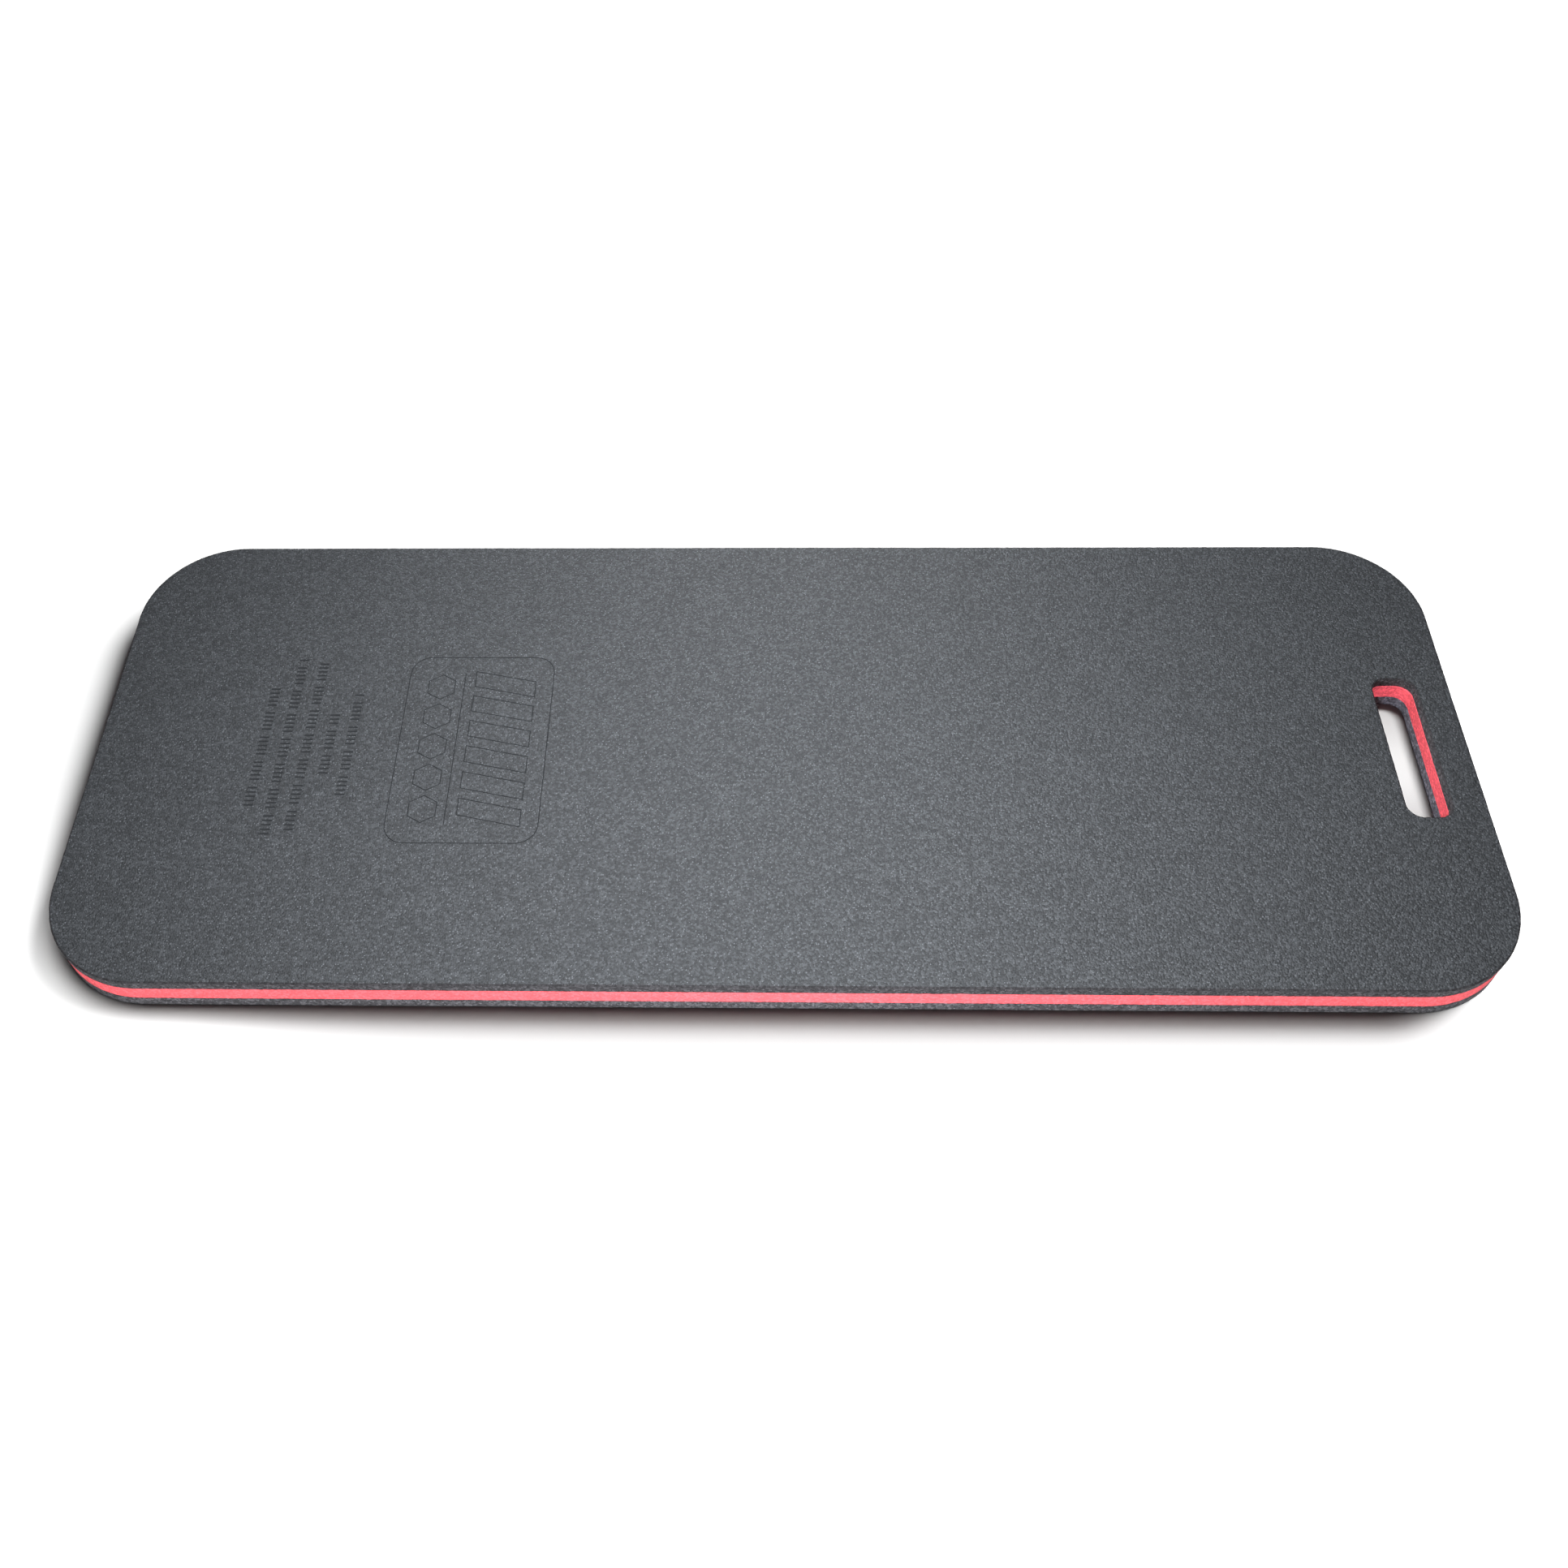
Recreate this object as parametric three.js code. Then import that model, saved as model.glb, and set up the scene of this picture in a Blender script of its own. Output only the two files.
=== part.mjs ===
// A kneeling board: three sheets of closed-cell foam bonded face to face, die-cut to one
// rounded outline, with a slot for the hand near one end.
//
// Units are millimetres. The board lies flat with its underside on Z = 0 and its outline
// centred on the origin. +X runs along its length towards the hand slot, and +Z is up.
import * as THREE from "three";

// Outline
const LENGTH = 914;
const WIDTH = 356;
const CORNER_RADIUS = 67;

// Hand slot, cut through every layer
const SLOT_LENGTH = 111;
const SLOT_WIDTH = 29;
const SLOT_CORNER_RADIUS = 10;
const SLOT_CENTRE_TO_END = 37;

// Layer thicknesses
const FACE_SHEET = 8;
const CORE_SHEET = 12;
const BOND_FILM = 0.25;

// Straight steps in each quarter-circle corner
const OUTLINE_CORNER_STEPS = 24;
const SLOT_CORNER_STEPS = 12;

// The finish of each kind of layer
const CHARCOAL_FOAM = { color: 0x55585d, roughness: 0.85, metalness: 0 };
const CORAL_FOAM = { color: 0xe8566a, roughness: 0.9, metalness: 0 };
const BOND_ADHESIVE = { color: 0x3a2b30, roughness: 0.55, metalness: 0 };

// The layers from the underside up
const LAYERS = [
  { name: "bottom_foam_sheet", thickness: FACE_SHEET, finish: CHARCOAL_FOAM },
  { name: "lower_bond_film", thickness: BOND_FILM, finish: BOND_ADHESIVE },
  { name: "core_foam_sheet", thickness: CORE_SHEET, finish: CORAL_FOAM },
  { name: "upper_bond_film", thickness: BOND_FILM, finish: BOND_ADHESIVE },
  { name: "top_foam_sheet", thickness: FACE_SHEET, finish: CHARCOAL_FOAM },
];

// The points of a closed rounded rectangle, anticlockwise, each corner a quarter circle.
function roundedRectangle({ centreX, sizeX, sizeY, radius, cornerSteps }) {
  const reachX = sizeX / 2 - radius;
  const reachY = sizeY / 2 - radius;
  const corners = [
    [reachX, -reachY],
    [reachX, reachY],
    [-reachX, reachY],
    [-reachX, -reachY],
  ];
  return corners.flatMap(([x, y], corner) => {
    const startAngle = (corner - 1) * (Math.PI / 2);
    return Array.from({ length: cornerSteps + 1 }, (_, step) => {
      const angle = startAngle + (step / cornerSteps) * (Math.PI / 2);
      return new THREE.Vector2(
        centreX + x + radius * Math.cos(angle),
        y + radius * Math.sin(angle),
      );
    });
  });
}

// The flat shape that the cutting die leaves in every layer.
function dieCutShape() {
  const shape = new THREE.Shape(
    roundedRectangle({
      centreX: 0,
      sizeX: LENGTH,
      sizeY: WIDTH,
      radius: CORNER_RADIUS,
      cornerSteps: OUTLINE_CORNER_STEPS,
    }),
  );
  const slot = roundedRectangle({
    centreX: LENGTH / 2 - SLOT_CENTRE_TO_END,
    sizeX: SLOT_WIDTH,
    sizeY: SLOT_LENGTH,
    radius: SLOT_CORNER_RADIUS,
    cornerSteps: SLOT_CORNER_STEPS,
  });
  shape.holes.push(new THREE.Path(slot));
  return shape;
}

// One layer, with its underside at the given height.
function layerMesh(shape, layer, height) {
  const geometry = new THREE.ExtrudeGeometry(shape, {
    depth: layer.thickness,
    bevelEnabled: false,
  });
  const mesh = new THREE.Mesh(
    geometry,
    new THREE.MeshStandardMaterial(layer.finish),
  );
  mesh.name = layer.name;
  mesh.position.z = height;
  return mesh;
}

// The layers stacked face to face.
function kneelingBoard() {
  const board = new THREE.Group();
  const shape = dieCutShape();
  let height = 0;
  for (const layer of LAYERS) {
    board.add(layerMesh(shape, layer, height));
    height += layer.thickness;
  }
  return board;
}

export default kneelingBoard();
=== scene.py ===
"""A laminated foam kneeling board, lying on a pale floor in soft light.

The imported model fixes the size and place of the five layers. Here each layer becomes a
detailed piece: walls cut by a die, with open cells and a slight hollow, softened edges,
thin glue lines between the foams, and a plain pressed mark on the upper face.

Everything is in metres. +X runs along the board towards its hand slot, and +Z is up.
"""
import math
from collections import namedtuple

import bpy
from mathutils import Matrix, Vector, geometry, noise


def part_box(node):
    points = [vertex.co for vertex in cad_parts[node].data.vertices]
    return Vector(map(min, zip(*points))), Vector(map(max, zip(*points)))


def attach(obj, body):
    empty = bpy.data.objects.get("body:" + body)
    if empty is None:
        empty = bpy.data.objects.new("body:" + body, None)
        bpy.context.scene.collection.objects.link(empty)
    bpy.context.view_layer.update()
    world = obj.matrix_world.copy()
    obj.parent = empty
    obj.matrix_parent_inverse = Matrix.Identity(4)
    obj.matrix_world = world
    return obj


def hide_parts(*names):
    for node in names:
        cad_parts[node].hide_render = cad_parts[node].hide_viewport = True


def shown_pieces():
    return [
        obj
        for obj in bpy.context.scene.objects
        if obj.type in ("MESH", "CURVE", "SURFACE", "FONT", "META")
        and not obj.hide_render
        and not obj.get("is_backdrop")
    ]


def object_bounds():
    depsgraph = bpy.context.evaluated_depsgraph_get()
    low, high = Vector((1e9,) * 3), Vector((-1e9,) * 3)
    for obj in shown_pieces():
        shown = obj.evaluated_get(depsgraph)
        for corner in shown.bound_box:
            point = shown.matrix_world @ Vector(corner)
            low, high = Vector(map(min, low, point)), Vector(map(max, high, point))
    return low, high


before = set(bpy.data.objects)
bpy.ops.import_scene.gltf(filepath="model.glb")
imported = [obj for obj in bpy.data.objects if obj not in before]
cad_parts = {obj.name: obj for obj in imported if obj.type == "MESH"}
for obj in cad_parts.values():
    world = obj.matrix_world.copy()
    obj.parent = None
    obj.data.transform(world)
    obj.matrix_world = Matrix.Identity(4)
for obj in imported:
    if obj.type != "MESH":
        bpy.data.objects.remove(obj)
CAD_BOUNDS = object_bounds()

MM = 0.001

# ---------------------------------------------------------------------------------------
# Sizes
# ---------------------------------------------------------------------------------------

BOARD_LOW = Vector(CAD_BOUNDS[0])
BOARD_HIGH = Vector(CAD_BOUNDS[1])
BOARD_LENGTH = BOARD_HIGH.x - BOARD_LOW.x
BOARD_WIDTH = BOARD_HIGH.y - BOARD_LOW.y
BOARD_THICKNESS = BOARD_HIGH.z - BOARD_LOW.z

# The die's shape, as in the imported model
CORNER_RADIUS = 67 * MM
SLOT_LENGTH = 111 * MM
SLOT_WIDTH = 29 * MM
SLOT_CORNER_RADIUS = 10 * MM
SLOT_CENTRE_TO_END = 37 * MM

# How the die leaves the walls
DIE_HOLLOW = 0.3 * MM  # the middle of the wall springs back further than its edges
UPPER_EDGE_ROUND = 1.1 * MM
LOWER_EDGE_ROUND = 0.4 * MM
SEAM_ROUND = 0.3 * MM  # where a sheet meets the glue
GLUE_RECESS = 0.5 * MM
CELL_RELIEF = 0.13 * MM
CELL_LENGTH = 3.2 * MM
FINE_CELL_LENGTH = 0.45 * CELL_LENGTH
FINE_CELL_SHARE = 0.7  # of the coarse cells' relief
GLUE_RELIEF_SHARE = 0.4  # of the foam's relief

# The upper face isn't quite flat
WAVE_HEIGHT = 0.22 * MM
WAVE_LENGTH = 120 * MM

# The pressed mark
LINE_WIDTH = 0.6 * MM
TICK_WIDTH = 1.4 * MM
GROOVE_DEPTH = 0.4 * MM

# Spacing of the mesh
WALL_STEP = 1.0 * MM
ROUND_STEPS = 4
FACE_STEP = 6.0 * MM
HIDDEN_STEP = 18.0 * MM  # on the faces that are bonded
RIM_STEP = 2.5 * MM  # near the edges of a face
GROOVE_STEP = 3.5 * MM
GROOVE_CLEARANCE = 1.1 * TICK_WIDTH
SHARP_ANGLE = math.radians(50)

Rectangle = namedtuple("Rectangle", "centre_x size_x size_y radius")

OUTLINE = Rectangle(0.0, BOARD_LENGTH, BOARD_WIDTH, CORNER_RADIUS)
SLOT = Rectangle(
    BOARD_HIGH.x - SLOT_CENTRE_TO_END, SLOT_WIDTH, SLOT_LENGTH, SLOT_CORNER_RADIUS
)


# ---------------------------------------------------------------------------------------
# Rounded rectangles
# ---------------------------------------------------------------------------------------

def grown(shape, amount):
    """The same rounded rectangle, larger all round by an amount."""
    return Rectangle(
        shape.centre_x,
        shape.size_x + 2 * amount,
        shape.size_y + 2 * amount,
        shape.radius + amount,
    )


def loop_round(shape, step):
    """Points round a rounded rectangle, anticlockwise, each with its outward direction."""
    reach_x = shape.size_x / 2 - shape.radius
    reach_y = shape.size_y / 2 - shape.radius
    corners = [(reach_x, -reach_y), (reach_x, reach_y), (-reach_x, reach_y), (-reach_x, -reach_y)]
    straights = [2 * reach_y, 2 * reach_x, 2 * reach_y, 2 * reach_x]
    arc_steps = max(3, round(shape.radius * math.pi / 2 / step))
    loop = []
    for quarter, (x, y) in enumerate(corners):
        start = (quarter - 1) * math.pi / 2
        for turn in range(arc_steps + 1):
            angle = start + turn / arc_steps * math.pi / 2
            outward = Vector((math.cos(angle), math.sin(angle), 0))
            place = Vector((shape.centre_x + x, y, 0)) + outward * shape.radius
            loop.append((place, outward))
        along = Vector((-outward.y, outward.x, 0))
        straight_steps = max(1, round(straights[quarter] / step))
        for stride in range(1, straight_steps):
            travelled = straights[quarter] * stride / straight_steps
            loop.append((place + along * travelled, outward))
    return loop


def distance_outside(shape, x, y):
    """How far a point lies outside a rounded rectangle; negative inside it."""
    over_x = abs(x - shape.centre_x) - shape.size_x / 2 + shape.radius
    over_y = abs(y) - shape.size_y / 2 + shape.radius
    return (
        math.hypot(max(over_x, 0), max(over_y, 0))
        + min(max(over_x, over_y), 0)
        - shape.radius
    )


def inside_material(x, y, margin):
    """True where the board has foam, at least a margin away from every wall."""
    return distance_outside(OUTLINE, x, y) < -margin and distance_outside(SLOT, x, y) > margin


# ---------------------------------------------------------------------------------------
# Lines pressed into the upper face
# ---------------------------------------------------------------------------------------

Groove = namedtuple("Groove", "rims beds")  # closed rim lines, and bed lines as (points, closed)


def divided(points, closed, step):
    """The same line with extra points, so that no stretch is much longer than a step."""
    ends = points[1:] + points[:1] if closed else points[1:]
    line = []
    for start, end in zip(points, ends):
        pieces = max(1, round((end - start).length / step))
        line += [start.lerp(end, piece / pieces) for piece in range(pieces)]
    return line if closed else line + [points[-1]]


def beside(points, closed, offset):
    """The line that runs a fixed distance to the left of another, mitred at its corners.
    A mitre is at most twice that distance long."""
    count = len(points)
    line = []
    for index, point in enumerate(points):
        before = points[index - 1] if closed or index > 0 else None
        after = points[(index + 1) % count] if closed or index < count - 1 else None
        arriving = (point - before).normalized() if before is not None else None
        leaving = (after - point).normalized() if after is not None else None
        arriving = arriving or leaving
        leaving = leaving or arriving
        middle = (arriving + leaving).normalized()
        left = Vector((-middle.y, middle.x))
        stretch = 1 / max(0.5, middle.dot(arriving))
        line.append(point + left * offset * stretch)
    return line


def closed_groove(points):
    """A groove along a closed line."""
    line = divided(points, True, GROOVE_STEP)
    half = LINE_WIDTH / 2
    return Groove([beside(line, True, half), beside(line, True, -half)], [(line, True)])


def open_groove(points, width):
    """A groove along a line with two ends."""
    line = divided(points, False, GROOVE_STEP)
    half = width / 2
    rim = beside(line, False, half) + list(reversed(beside(line, False, -half)))
    first = line[0] + (line[1] - line[0]).normalized() * half
    last = line[-1] + (line[-2] - line[-1]).normalized() * half
    bed = [first] + line[1:-1] + [last]
    return Groove([rim], [(bed, False)])


# The mark reads from the back edge to the front, with its top towards the slot.
MARK_CENTRE = Vector((-203 * MM, -2 * MM))
MARK_BORDER = Rectangle(0.0, 100 * MM, 152 * MM, 14 * MM)


def on_mark(across, up):
    """A point of the mark, from its place across the mark and up it."""
    return MARK_CENTRE + Vector((up, -across))


def mark_border():
    """A rounded border."""
    border = [MARK_CENTRE + place.xy for place, _ in loop_round(MARK_BORDER, GROOVE_STEP)]
    return [closed_groove(border)]


def mark_bars():
    """A band of leaning bars."""
    count, width, gap, lean = 6, 13 * MM, 8 * MM, 9 * MM
    foot, head = -4 * MM, 38 * MM
    grooves = []
    start = -(count * width + (count - 1) * gap + lean) / 2
    for index in range(count):
        left = start + index * (width + gap)
        grooves.append(closed_groove([
            on_mark(left, foot),
            on_mark(left + width, foot),
            on_mark(left + width + lean, head),
            on_mark(left + lean, head),
        ]))
    return grooves


def mark_hexagons():
    """A row of hexagons under the bars."""
    count, pitch, radius, height = 5, 25 * MM, 10.5 * MM, -27 * MM
    grooves = []
    for index in range(count):
        centre = (index - (count - 1) / 2) * pitch
        corners = []
        for corner in range(6):
            angle = corner * math.pi / 3
            corners.append(
                on_mark(centre + radius * math.cos(angle), height + radius * math.sin(angle))
            )
        grooves.append(closed_groove(corners))
    return grooves


def mark_rule():
    """A line between the bars and the hexagons."""
    reach, height = 62 * MM, -11.5 * MM
    return [open_groove([on_mark(-reach, height), on_mark(reach, height)], LINE_WIDTH)]


def tick_rows():
    """Five rows of plain ticks below the mark, with every sixth tick left out."""
    tick, pitch, group = 6.5 * MM, 3.4 * MM, 6
    # Each row's place along the board and half its length, in millimetres
    rows = [(-286, 41), (-300, 25), (-315, 69), (-330, 72), (-345, 50)]
    grooves = []
    for row_x, half_length in rows:
        steps = int(2 * half_length * MM / pitch)
        for index in range(steps + 1):
            if index % group == group - 1:
                continue
            y = (index - steps / 2) * pitch
            start = Vector((row_x * MM - tick / 2, y))
            end = start + Vector((tick, 0))
            grooves.append(open_groove([start, end], TICK_WIDTH))
    return grooves


def pressed_grooves():
    """Everything that is pressed into the upper face."""
    return mark_border() + mark_bars() + mark_rule() + mark_hexagons() + tick_rows()


# ---------------------------------------------------------------------------------------
# Building a closed sheet
# ---------------------------------------------------------------------------------------

class Shell:
    """The points and faces of one closed piece while it is being built."""

    def __init__(self):
        self.points = []
        self.faces = []
        self.finishes = []

    def add_point(self, point):
        self.points.append(Vector(point))
        return len(self.points) - 1

    def add_face(self, corners, finish):
        self.faces.append(corners)
        self.finishes.append(finish)

    def piece(self, name, materials):
        """The finished Blender object."""
        mesh = bpy.data.meshes.new(name)
        mesh.from_pydata(self.points, [], self.faces)
        for material in materials:
            mesh.materials.append(material)
        mesh.polygons.foreach_set("material_index", self.finishes)
        mesh.polygons.foreach_set("use_smooth", [True] * len(self.faces))
        mesh.set_sharp_from_angle(angle=SHARP_ANGLE)
        mesh.update()
        piece = bpy.data.objects.new(name, mesh)
        bpy.context.scene.collection.objects.link(piece)
        return piece


def hollow_at(height):
    """How far the cut wall is pulled in at a height, from the hollow that the die leaves."""
    across = 2 * (height - BOARD_LOW.z) / BOARD_THICKNESS - 1
    return DIE_HOLLOW * (1 - across * across)


def wall_rows(low, high, low_round, high_round, step):
    """(height, extra inset) of each row of points up a wall, with both edges rounded."""
    rows = []
    for turn in range(ROUND_STEPS + 1):
        angle = turn / ROUND_STEPS * math.pi / 2
        rows.append((low + low_round * (1 - math.cos(angle)), low_round * (1 - math.sin(angle))))
    straight = high - high_round - low - low_round
    count = max(1, round(straight / step))
    for stride in range(1, count):
        rows.append((low + low_round + straight * stride / count, 0.0))
    for turn in range(ROUND_STEPS, -1, -1):
        angle = turn / ROUND_STEPS * math.pi / 2
        rows.append((high - high_round * (1 - math.cos(angle)), high_round * (1 - math.sin(angle))))
    return rows


def cell_relief(place):
    """How far the cut cells stand proud of the wall at a place, or lie below it."""
    coarse = noise.noise(place / CELL_LENGTH)
    fine = noise.noise(place / FINE_CELL_LENGTH)
    return CELL_RELIEF * (coarse + FINE_CELL_SHARE * fine)


def add_wall(shell, loop, rows, finish, relief, rim_finish):
    """A wall round a loop of (place, outward direction), with the rim's finish on its upper
    edge. Returns its lowest and highest rings, as the numbers of their points."""
    rings = []
    for height, inset in rows:
        at_face = height in (rows[0][0], rows[-1][0])
        ring = []
        for place, outward in loop:
            point = Vector((place.x, place.y, height)) - outward * (hollow_at(height) + inset)
            if not at_face:
                point += outward * relief * cell_relief(point)
            ring.append(shell.add_point(point))
        rings.append(ring)
    count = len(loop)
    for row, (lower, upper) in enumerate(zip(rings, rings[1:])):
        row_finish = rim_finish if row >= len(rows) - 1 - ROUND_STEPS else finish
        for index in range(count):
            after = (index + 1) % count
            shell.add_face((lower[index], lower[after], upper[after], upper[index]), row_finish)
    return rings[0], rings[-1]


class Plan:
    """The flat points and fixed lines that a face is triangulated from."""

    def __init__(self):
        self.places = []
        self.lines = []

    def add_places(self, places):
        first = len(self.places)
        self.places += [Vector((place[0], place[1])) for place in places]
        return range(first, len(self.places))

    def add_line(self, places, closed):
        indices = self.add_places(places)
        self.lines += list(zip(indices, indices[1:]))
        if closed:
            self.lines.append((indices[-1], indices[0]))
        return indices


def grid_places(step, margin):
    """Places on a triangular grid over the board, clear of the walls."""
    places = []
    row_step = 0.866 * step  # the height of a triangle whose sides are one step long
    rows = int(BOARD_WIDTH / row_step) + 1
    columns = int(BOARD_LENGTH / step) + 1
    for row in range(rows):
        y = (row - (rows - 1) / 2) * row_step
        shift = 0.25 * step if row % 2 else -0.25 * step  # half a step from row to row
        for column in range(columns):
            x = (column - (columns - 1) / 2) * step + shift
            if inside_material(x, y, margin):
                places.append((x, y))
    return places


def near_grooves(grooves, clearance):
    """A test that says whether a place is too near any groove's bed."""
    cell = 2 * clearance
    taken = {}
    for groove in grooves:
        for bed, closed in groove.beds:
            for point in divided(bed, closed, clearance):
                key = (math.floor(point.x / cell), math.floor(point.y / cell))
                taken.setdefault(key, []).append(point)

    def too_near(place):
        column, row = math.floor(place[0] / cell), math.floor(place[1] / cell)
        for across in (-1, 0, 1):
            for along in (-1, 0, 1):
                for point in taken.get((column + across, row + along), ()):
                    if math.hypot(place[0] - point.x, place[1] - point.y) < clearance:
                        return True
        return False

    return too_near


def face_plan(shell, rings, step, grooves):
    """The plan of a face between an outer ring and a slot ring. Also says which point of the
    shell each place on the rings is, and which places are the beds of grooves."""
    plan = Plan()
    ring_points = {}
    for ring in rings:
        places = plan.add_line([shell.points[point] for point in ring], True)
        ring_points.update(zip(places, ring))

    beds = set()
    for groove in grooves:
        for rim in groove.rims:
            plan.add_line(rim, True)
        for bed, closed in groove.beds:
            beds.update(plan.add_line(bed, closed))

    too_near = near_grooves(grooves, GROOVE_CLEARANCE)
    places = [place[:2] for place, _ in loop_round(grown(OUTLINE, -2 * RIM_STEP), RIM_STEP)]
    places += [place[:2] for place, _ in loop_round(grown(SLOT, 2 * RIM_STEP), RIM_STEP)]
    places += grid_places(step, 3 * RIM_STEP)
    plan.add_places([place for place in places if not too_near(place)])
    return plan, ring_points, beds


ONLY_INSIDE_LINES = 1  # the kind of triangulation that stops at the outer line
SAME_PLACE = 1e-7  # places nearer than this are one


def close_sheet(shell, rings, height, facing_up, step, finish, grooves, groove_finish):
    """Closes a sheet with a flat face between its outer ring and its slot ring."""
    plan, ring_points, beds = face_plan(shell, rings, step, grooves)
    places, _, triangles, sources, _, _ = geometry.delaunay_2d_cdt(
        plan.places, plan.lines, [], ONLY_INSIDE_LINES, SAME_PLACE, True
    )
    corners = []
    is_bed = []
    for place, source in zip(places, sources):
        is_bed.append(any(index in beds for index in source))
        corner = next((ring_points[index] for index in source if index in ring_points), None)
        if corner is None:
            depth = GROOVE_DEPTH if is_bed[-1] else 0.0
            corner = shell.add_point((place.x, place.y, height - depth))
        corners.append(corner)

    slot_ring = set(rings[1])
    for triangle in triangles:
        over_slot = all(corners[index] in slot_ring for index in triangle)
        if over_slot:
            continue
        pressed = any(is_bed[index] for index in triangle)
        order = triangle if facing_up else reversed(triangle)
        shell.add_face([corners[index] for index in order], groove_finish if pressed else finish)


Sheet = namedtuple("Sheet", "shell materials name node")


def make_sheet(name, node, materials, rounds=(SEAM_ROUND, SEAM_ROUND), relief=1.0, recess=0.0,
               face_steps=(HIDDEN_STEP, HIDDEN_STEP), grooves=()):
    """One layer, closed. The rounds are the radii of its lower and upper edges. Materials
    are for its walls, faces, grooves and upper rim, or one for all of them."""
    low, high = (corner[2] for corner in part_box(node))
    wall_finish, face_finish, groove_finish, rim_finish = [
        min(finish, len(materials) - 1) for finish in range(4)
    ]
    largest_round = (high - low) / 3
    rounds = [min(radius, largest_round) for radius in rounds]
    rows = [(row, inset + recess) for row, inset in wall_rows(low, high, *rounds, WALL_STEP)]

    shell = Shell()
    outline = loop_round(OUTLINE, WALL_STEP)
    hole = [(place, -outward) for place, outward in reversed(loop_round(SLOT, WALL_STEP))]
    outer_rings = add_wall(shell, outline, rows, wall_finish, relief, rim_finish)
    slot_rings = add_wall(shell, hole, rows, wall_finish, relief, rim_finish)
    lower_rings, upper_rings = zip(outer_rings, slot_rings)
    close_sheet(shell, lower_rings, low, False, face_steps[0], face_finish, (), groove_finish)
    close_sheet(shell, upper_rings, high, True, face_steps[1], face_finish, grooves, groove_finish)
    return Sheet(shell, materials, name, node)


def wave_at(x, y):
    """The upper face's slow rise and fall."""
    return WAVE_HEIGHT * noise.noise(Vector((x, y, 0)) / WAVE_LENGTH)


def lift_upper_face(shell, low, high):
    """Bends the sheet's upper face into its slow waves, and leaves its bonded face flat."""
    for point in shell.points:
        point.z += wave_at(point.x, point.y) * (point.z - low) / (high - low)


# ---------------------------------------------------------------------------------------
# Materials
# ---------------------------------------------------------------------------------------

class Material:
    """A node material, built by short calls."""

    def __init__(self, name):
        self.material = bpy.data.materials.new(name)
        self.material.use_nodes = True
        self.tree = self.material.node_tree
        self.tree.nodes.clear()

    def node(self, kind, inputs=None, **settings):
        """A new node. An input is a value, or a socket to link to it."""
        node = self.tree.nodes.new(kind)
        for key, value in settings.items():
            setattr(node, key, value)
        for key, value in (inputs or {}).items():
            if isinstance(value, bpy.types.NodeSocket):
                self.tree.links.new(value, node.inputs[key])
            else:
                node.inputs[key].default_value = value
        return node

    def maths(self, operation, first, second, clamp=False):
        return self.node(
            "ShaderNodeMath", {0: first, 1: second}, operation=operation, use_clamp=clamp
        ).outputs[0]

    def mix(self, factor, first, second):
        """A mix of two colours, which are the node's sockets 6 and 7 and its output 2."""
        return self.node(
            "ShaderNodeMix", {0: factor, 6: first, 7: second}, data_type="RGBA"
        ).outputs[2]

    def place(self):
        return self.node("ShaderNodeTexCoord").outputs["Object"]

    def noise(self, length, detail=2.0, roughness=0.5):
        return self.node("ShaderNodeTexNoise", {
            "Vector": self.place(),
            "Scale": 1 / length,
            "Detail": detail,
            "Roughness": roughness,
        }).outputs["Fac"]

    def cells(self, length):
        return self.node("ShaderNodeTexVoronoi", {"Vector": self.place(), "Scale": 1 / length})

    def finish(self, colour, height, relief, roughness, **sockets):
        """The material, with a bump whose depth is the relief, and any other plain sockets."""
        bump = self.node("ShaderNodeBump", {"Height": height, "Strength": 1.0, "Distance": relief})
        shader = self.node("ShaderNodeBsdfPrincipled", {
            "Base Color": colour,
            "Roughness": roughness,
            "Normal": bump.outputs[0],
        })
        for key, value in sockets.items():
            shader.inputs[key.replace("_", " ")].default_value = value
        output = self.node("ShaderNodeOutputMaterial")
        self.tree.links.new(shader.outputs[0], output.inputs["Surface"])
        return self.material


def shade(red, green, blue, times=1.0):
    """A colour with an alpha, made lighter or darker by a factor."""
    return (red * times, green * times, blue * times, 1.0)


# Linear colours
CHARCOAL = (0.078, 0.085, 0.095)
CUT_CHARCOAL = (0.084, 0.083, 0.092)
# Painted shade: the upper rim is darker than the face, for the shade along the rounded edge
RIM_PAINTED_SHADE = (0.058, 0.057, 0.063)
CORAL = (0.80, 0.103, 0.123)
GLUE = (0.030, 0.018, 0.020)
FLOOR_GREYS = (0.110, 0.112)  # from the darkest to the lightest

# How much the foam's tone takes from its cells, its grain and its mottling, and what is
# then taken off all of it
CELL_TONE = 0.65
GRAIN_TONE = 0.75
MOTTLE_TONE = 0.12
TONE_OFFSET = 0.16

GRAIN_SIZE = 0.7  # of a cell
GRAIN_HEIGHT = 0.8  # of a cell's dome
MOTTLE_LENGTH = 22 * MM
GLINT_START = 0.62  # how far up its dome a painted glint begins


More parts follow.
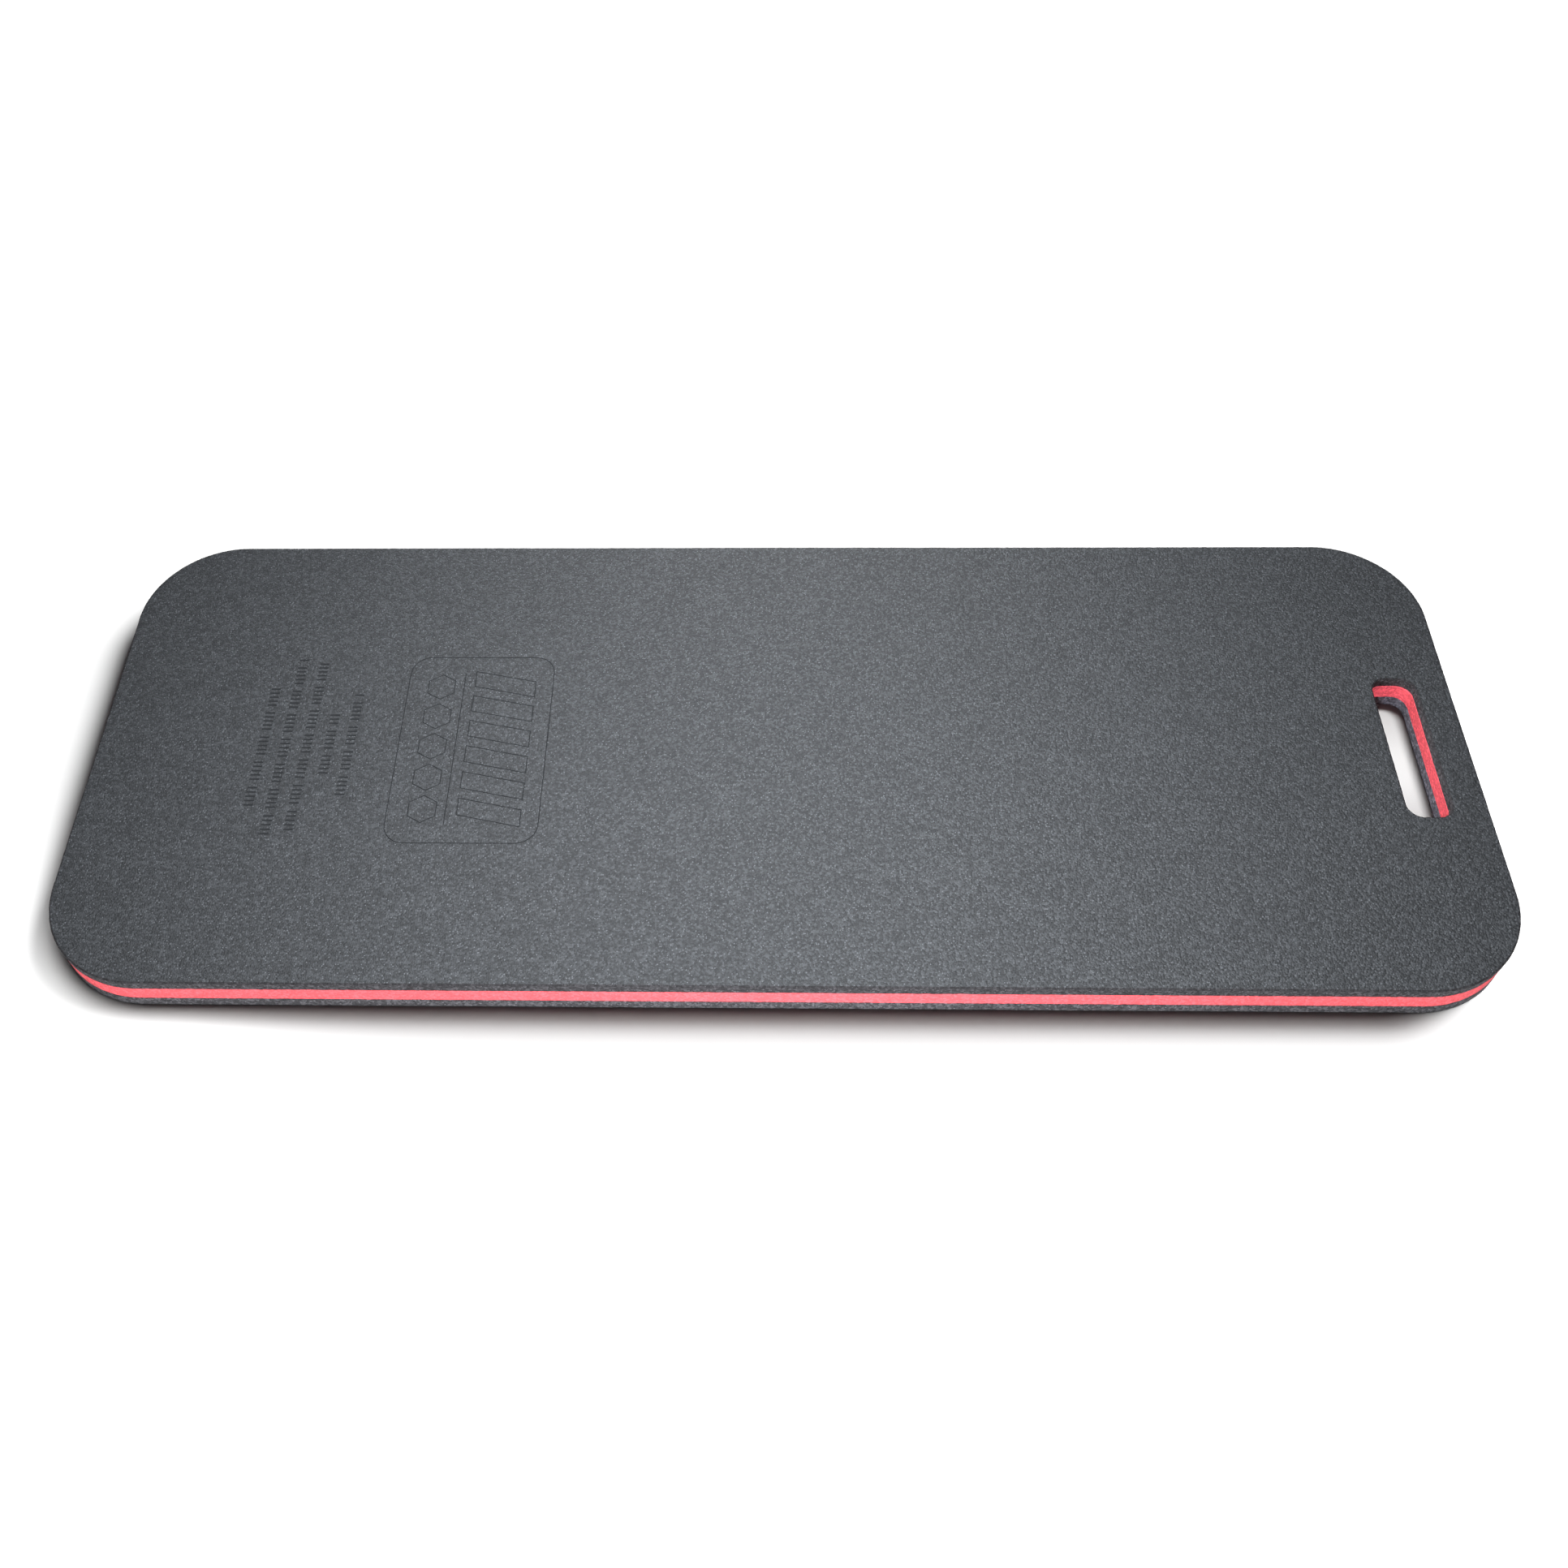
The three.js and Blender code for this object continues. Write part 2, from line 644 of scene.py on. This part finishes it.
def foam(name, colour, cell, relief, contrast, glint_share, glint_times, roughness=0.9,
         specular=0.25):
    """Closed-cell foam: domed cells of mixed tone, finer grain between them, slow mottling,
    and painted glints: pale crowns on a few cells, standing in for light caught by shiny cells.
    Its tone goes from 1 - contrast to 1 + contrast times its colour, and a share of its cells
    carry the painted glints, at their own times its colour."""
    material = Material(name)
    cells = material.cells(cell)
    chance = material.node("ShaderNodeSeparateColor", {0: cells.outputs["Color"]})
    dome = material.maths("SUBTRACT", 1.0, cells.outputs["Distance"], clamp=True)
    grain = material.noise(GRAIN_SIZE * cell, detail=3.0, roughness=0.6)
    mottle = material.noise(MOTTLE_LENGTH, detail=3.0)

    tone = material.maths("MULTIPLY", material.maths("POWER", chance.outputs[0], 2.0), CELL_TONE)
    tone = material.maths("ADD", tone, material.maths("MULTIPLY", grain, GRAIN_TONE))
    tone = material.maths("ADD", tone, material.maths("MULTIPLY", mottle, MOTTLE_TONE))
    tone = material.maths("SUBTRACT", tone, TONE_OFFSET, clamp=True)
    base = material.mix(tone, shade(*colour, 1 - contrast), shade(*colour, 1 + contrast))

    # Painted glints: a share of the cells get pale crowns, standing in for light caught by shiny
    # cells
    lit = material.maths("GREATER_THAN", chance.outputs[1], 1 - glint_share)
    crown = material.maths("GREATER_THAN", dome, GLINT_START)
    painted_glint = material.maths("MULTIPLY", lit, crown)
    base = material.mix(painted_glint, base, shade(*colour, glint_times))

    height = material.maths("ADD", dome, material.maths("MULTIPLY", grain, GRAIN_HEIGHT))
    return material.finish(base, height, relief, roughness, Specular_IOR_Level=specular)


def charcoal_face():
    """The faces of the outer sheets: fine pebbled skin with a slight sheen and painted glints as
    pale flecks.
    """
    return foam(
        "charcoal_face", CHARCOAL, cell=1.2 * MM, relief=0.5 * MM, contrast=0.72,
        glint_share=0.10, glint_times=2.7, roughness=0.6, specular=0.5,
    )


def charcoal_cut():
    """The outer sheets where the die has cut them: coarser, duller open cells."""
    return foam(
        "charcoal_cut", CUT_CHARCOAL, cell=1.6 * MM, relief=0.6 * MM, contrast=0.88,
        glint_share=0.06, glint_times=2.2,
    )


def painted_shade_rim():
    """The upper edge, with painted shade: darker than the face, standing in for the shade along the
    rounded edge.
    """
    return foam(
        "painted_shade_rim", RIM_PAINTED_SHADE, cell=1.2 * MM, relief=0.3 * MM, contrast=0.7,
        glint_share=0.03, glint_times=1.8,
    )


def coral_cut():
    """The core: an even coral foam whose cells show much less than the charcoal's."""
    return foam(
        "coral_cut", CORAL, cell=1.6 * MM, relief=0.4 * MM, contrast=0.34,
        glint_share=0.05, glint_times=1.2,
    )


def pressed_foam():
    """Foam that a hot die has closed: darker and smoother than the foam round it."""
    material = Material("pressed_foam")
    grain = material.noise(0.8 * MM, detail=2.0)
    colour = material.mix(grain, shade(*CHARCOAL, 0.42), shade(*CHARCOAL, 0.62))
    return material.finish(
        colour, grain, relief=0.05 * MM, roughness=0.7, Specular_IOR_Level=0.2
    )


def adhesive():
    """The satin bond between two sheets."""
    material = Material("bond_adhesive")
    grain = material.noise(1.5 * MM)
    colour = material.mix(grain, shade(*GLUE, 0.7), shade(*GLUE, 1.3))
    return material.finish(colour, grain, relief=0.05 * MM, roughness=0.5)


def floor_finish():
    """A grey floor. The strong lights that reach only the floor make it look white, while it
    throws little of that light back onto the board."""
    material = Material("studio_floor")
    grain = material.noise(300 * MM)
    darker, lighter = [shade(grey, grey, grey) for grey in FLOOR_GREYS]
    colour = material.mix(grain, darker, lighter)
    return material.finish(colour, grain, relief=0.0, roughness=0.8, Specular_IOR_Level=0.2)


# ---------------------------------------------------------------------------------------
# The camera
# ---------------------------------------------------------------------------------------

# Places as shares of the board's length, from the board's centre on the floor
CAMERA_PLACE = Vector((-0.0016, -0.6588, 0.9610)) * BOARD_LENGTH
CAMERA_AIM = Vector((-0.0356, 0.0645, 0.0156)) * BOARD_LENGTH
CAMERA_ROLL = math.radians(-2.079)
# The side of the sensor and the focal length, in millimetres
SENSOR = 36.0
LENS = 35.77
# The board lies a little off the middle of the lens, towards the upper left
CAMERA_SHIFT = (0.0355, -0.0617)


def add_camera():
    data = bpy.data.cameras.new("camera")
    data.sensor_width = SENSOR
    data.sensor_height = SENSOR
    data.lens = LENS
    data.shift_x, data.shift_y = CAMERA_SHIFT
    camera = bpy.data.objects.new("camera", data)
    turn = (CAMERA_AIM - CAMERA_PLACE).to_track_quat("-Z", "Y").to_matrix().to_4x4()
    roll = Matrix.Rotation(CAMERA_ROLL, 4, "Z")
    camera.matrix_world = Matrix.Translation(CAMERA_PLACE) @ turn @ roll
    bpy.context.scene.collection.objects.link(camera)
    bpy.context.scene.camera = camera


# ---------------------------------------------------------------------------------------
# The pieces
# ---------------------------------------------------------------------------------------

def add_piece(sheet):
    """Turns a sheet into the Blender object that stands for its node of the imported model."""
    piece = sheet.shell.piece(sheet.name, sheet.materials)
    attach(piece, "root")
    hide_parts(sheet.node)


def add_top(face, cut, pressed):
    low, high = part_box("top_foam_sheet")
    # Its upper rim takes the darker material of painted shade
    top = make_sheet(
        "top_foam", "top_foam_sheet", [cut, face, pressed, painted_shade_rim()],
        rounds=(SEAM_ROUND, UPPER_EDGE_ROUND), face_steps=(HIDDEN_STEP, FACE_STEP),
        grooves=pressed_grooves(),
    )
    lift_upper_face(top.shell, low[2], high[2])
    add_piece(top)


def add_core(cut):
    add_piece(make_sheet("core_foam", "core_foam_sheet", [cut]))


def add_bottom(face, cut, pressed):
    bottom = make_sheet(
        "bottom_foam", "bottom_foam_sheet", [cut, face, pressed, cut],
        rounds=(LOWER_EDGE_ROUND, SEAM_ROUND), face_steps=(FACE_STEP, HIDDEN_STEP),
    )
    add_piece(bottom)


def add_glue(side, glue):
    film = make_sheet(
        f"{side}_glue", f"{side}_bond_film", [glue],
        relief=GLUE_RELIEF_SHARE, recess=GLUE_RECESS,
    )
    add_piece(film)


def add_board():
    face = charcoal_face()
    cut = charcoal_cut()
    coral = coral_cut()
    pressed = pressed_foam()
    glue = adhesive()
    add_top(face, cut, pressed)
    add_core(coral)
    add_bottom(face, cut, pressed)
    for side in ("upper", "lower"):
        add_glue(side, glue)


# ---------------------------------------------------------------------------------------
# The floor and the light
# ---------------------------------------------------------------------------------------

FLOOR_SIZE = 12.0
FLOOR_GAP = 0.05 * MM
STUDIO_GLOW = 0.06  # the light that the white surroundings give
SHADE_TINT = (0.93, 0.97, 1.17)  # the light that reaches into the slot is a little cooler


def add_floor():
    mesh = bpy.data.meshes.new("floor")
    half = FLOOR_SIZE / 2
    corners = [(-half, -half), (half, -half), (half, half), (-half, half)]
    mesh.from_pydata([(x, y, -FLOOR_GAP) for x, y in corners], [], [(0, 1, 2, 3)])
    mesh.materials.append(floor_finish())
    floor = bpy.data.objects.new("floor", mesh)
    bpy.context.scene.collection.objects.link(floor)
    floor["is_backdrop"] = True
    return floor


def only_on(light, receivers):
    """Makes a light reach only these objects."""
    group = bpy.data.collections.new(f"{light.name}_receivers")
    for receiver in receivers:
        group.objects.link(receiver)
    light.light_linking.receiver_collection = group


def add_light(name, kind, place, aim, power):
    """A light at a place, turned towards its aim."""
    data = bpy.data.lights.new(name, kind)
    data.energy = power
    light = bpy.data.objects.new(name, data)
    turn = (Vector(aim) - Vector(place)).to_track_quat("-Z", "Y").to_matrix().to_4x4()
    light.matrix_world = Matrix.Translation(place) @ turn
    light.visible_camera = False
    bpy.context.scene.collection.objects.link(light)
    return light


def add_floor_light(floor):
    """A broad light from behind on the right, whose shadow falls to the front and left.
    It is two suns side by side, which soften the front shadow more than the left one."""
    for name, back in (("floor_key_low", 0.67), ("floor_key_high", 0.39)):
        key = add_light(name, "SUN", place=(0.94, back, 1.0), aim=(0, 0, 0), power=21.5)
        key.data.angle = math.radians(28)
        only_on(key, [floor])
    fill = add_light("floor_fill", "SUN", place=(0, 0, 1), aim=(0, 0, 0), power=0.3)
    fill.data.use_shadow = False
    only_on(fill, [floor])


def add_disk_light(name, place, aim, size, power, receivers):
    """A round soft light."""
    light = add_light(name, "AREA", place, aim, power)
    light.data.shape = "DISK"
    light.data.size = size
    only_on(light, receivers)


def add_corner_light(floor):
    """A small soft light close over the near left corner, where both shadows would meet."""
    corner = Vector((BOARD_LOW.x + 0.45 * CORNER_RADIUS, BOARD_LOW.y, 0))
    place = corner + Vector((0.02, 0.03, 0.11))
    add_disk_light("corner_floor", place, corner, size=0.06, power=1.35, receivers=[floor])


def add_slot_light(name, offset, power, softness, receivers, tint=(1, 1, 1)):
    """A narrow light down the hand slot, from an offset above it. Its circle on the floor is
    half as wide again as the slot is long."""
    slot = Vector((SLOT.centre_x, 0, 0))
    light = add_light(name, "SPOT", slot + Vector(offset), slot, power)
    light.data.spot_size = 2 * math.atan(0.75 * SLOT_LENGTH / Vector(offset).length)
    light.data.spot_blend = 0.2
    light.data.shadow_soft_size = softness
    light.data.color = tint
    only_on(light, receivers)


def add_world(strength):
    """An even white studio that looks bright but gives little light of its own."""
    world = bpy.data.worlds.new("studio")
    world.use_nodes = True
    tree = world.node_tree
    tree.nodes.clear()
    mix = tree.nodes.new("ShaderNodeMixShader")
    tree.links.new(tree.nodes.new("ShaderNodeLightPath").outputs["Is Camera Ray"], mix.inputs[0])
    for socket, brightness in ((1, strength), (2, 1.0)):
        background = tree.nodes.new("ShaderNodeBackground")
        background.inputs["Color"].default_value = (1.0, 1.0, 1.0, 1.0)
        background.inputs["Strength"].default_value = brightness
        tree.links.new(background.outputs[0], mix.inputs[socket])
    tree.links.new(mix.outputs[0], tree.nodes.new("ShaderNodeOutputWorld").inputs["Surface"])
    bpy.context.scene.world = world


def add_lights(floor):
    """Soft lights near the board, so that its ends are darker than its middle, and lights
    of their own for the floor, the slot, the core and the bottom sheet."""
    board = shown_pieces()
    core = [piece for piece in board if piece.name == "core_foam"]
    bottom = [piece for piece in board if piece.name == "bottom_foam"]
    middle, front, back = (0, -0.08, 0), (0, -0.18, 0.01), (0, 0.18, 0.01)
    front_left = (-0.05, -0.18, 0.01)
    add_world(STUDIO_GLOW)
    add_floor_light(floor)
    add_disk_light("board_top", (0, -0.08, 0.68), middle, size=0.3, power=5.75, receivers=board)
    add_disk_light("board_front", (0, -0.66, 0.16), front, size=0.25, power=2.5, receivers=board)
    add_disk_light("core_low", (0, -0.9, 0.12), front, size=0.25, power=6.8, receivers=core)
    add_disk_light(
        "bottom_low", (-0.05, -0.9, 0.12), front_left, size=0.25, power=3.8, receivers=bottom
    )
    # Three side by side, whose edges of shade in the slot blend into one soft one
    for number, across in enumerate((0.08, 0.15, 0.22)):
        add_slot_light(f"slot_floor_{number}", (across, 0.20, 0.9), 90.0, 0.07, [floor])
    add_slot_light("slot_core", (-0.18, -0.35, 0.45), 13.0, 0.03, core, SHADE_TINT)
    add_slot_light("slot_bottom", (-0.28, -0.24, 0.45), 15.0, 0.03, bottom, SHADE_TINT)
    add_corner_light(floor)
    add_disk_light("board_back", (0, 0.86, 0.22), back, size=0.4, power=3.2, receivers=board)


add_camera()
add_board()
add_lights(add_floor())
bpy.context.scene.view_settings.view_transform = "Standard"
